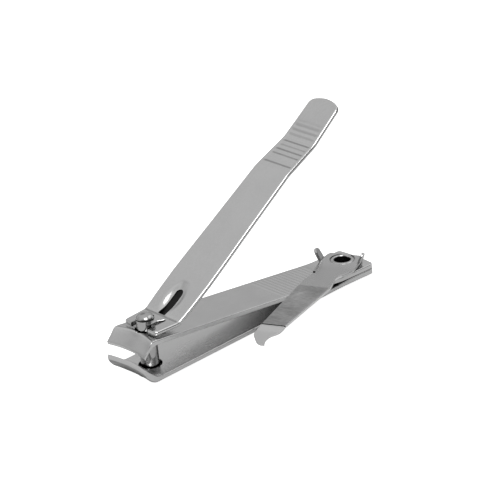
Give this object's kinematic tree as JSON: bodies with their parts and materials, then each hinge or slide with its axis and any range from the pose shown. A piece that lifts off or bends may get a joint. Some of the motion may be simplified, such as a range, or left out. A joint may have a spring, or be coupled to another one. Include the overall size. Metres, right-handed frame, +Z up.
{
  "type": "toenail clipper",
  "caption": "Straight-edged toenail clipper with sprung blades, a swivelling lever with a ribbed thumb rest and a swing-out file with a cleaner tip.",
  "frame": {"origin": "centre of the flat underside of the post's disc foot, on the table the clipper rests on", "axes": "+X from the jaws to the tail, +Y across the blades, +Z up, away from the table"},
  "size_m": [0.0815, 0.0382, 0.0514],
  "materials": {
    "blade_steel": "polished, fine lengthwise grain",
    "post_steel": "bright plated",
    "lever_steel": "satin plated",
    "file_steel": "cross-cut filing zone, satin elsewhere",
    "rivet_steel": "bright plated"
  },
  "bodies": {
    "lower_body": {"lower_blade": "blade_steel", "tail_rivet": "rivet_steel"},
    "upper_body": {"upper_blade": "blade_steel"},
    "post": {"center_post": "post_steel"},
    "lever_arm": {"lever": "lever_steel"},
    "file_arm": {"nail_file": "file_steel"}
  },
  "joints": [
    {"name": "jaw_flex", "type": "hinge", "parent": "lower_body", "child": "upper_body", "pos_m": [0.06827, 0, 0.00222], "axis": [0, -1, 0], "range_deg": [0, 1.9], "stiffness_Nm_per_rad": 15},
    {"name": "post_swivel", "type": "hinge", "parent": "lower_body", "child": "post", "pos_m": [0, 0, 0], "axis": [0, 0, 1], "continuous": true},
    {"name": "lever_press", "type": "hinge", "parent": "post", "child": "lever_arm", "pos_m": [0.00115, 0, 0.01325], "axis": [0, 1, 0], "range_deg": [0, 30]},
    {"name": "file_swing", "type": "hinge", "parent": "upper_body", "child": "file_arm", "pos_m": [0.06827, 0, 0.00077], "axis": [0.0372, 0, 0.9993], "range_deg": [-26, 154]}
  ],
  "couplings": [
    {"joint": "jaw_flex", "follows": "lever_press", "ratio": 0.0633}
  ]
}
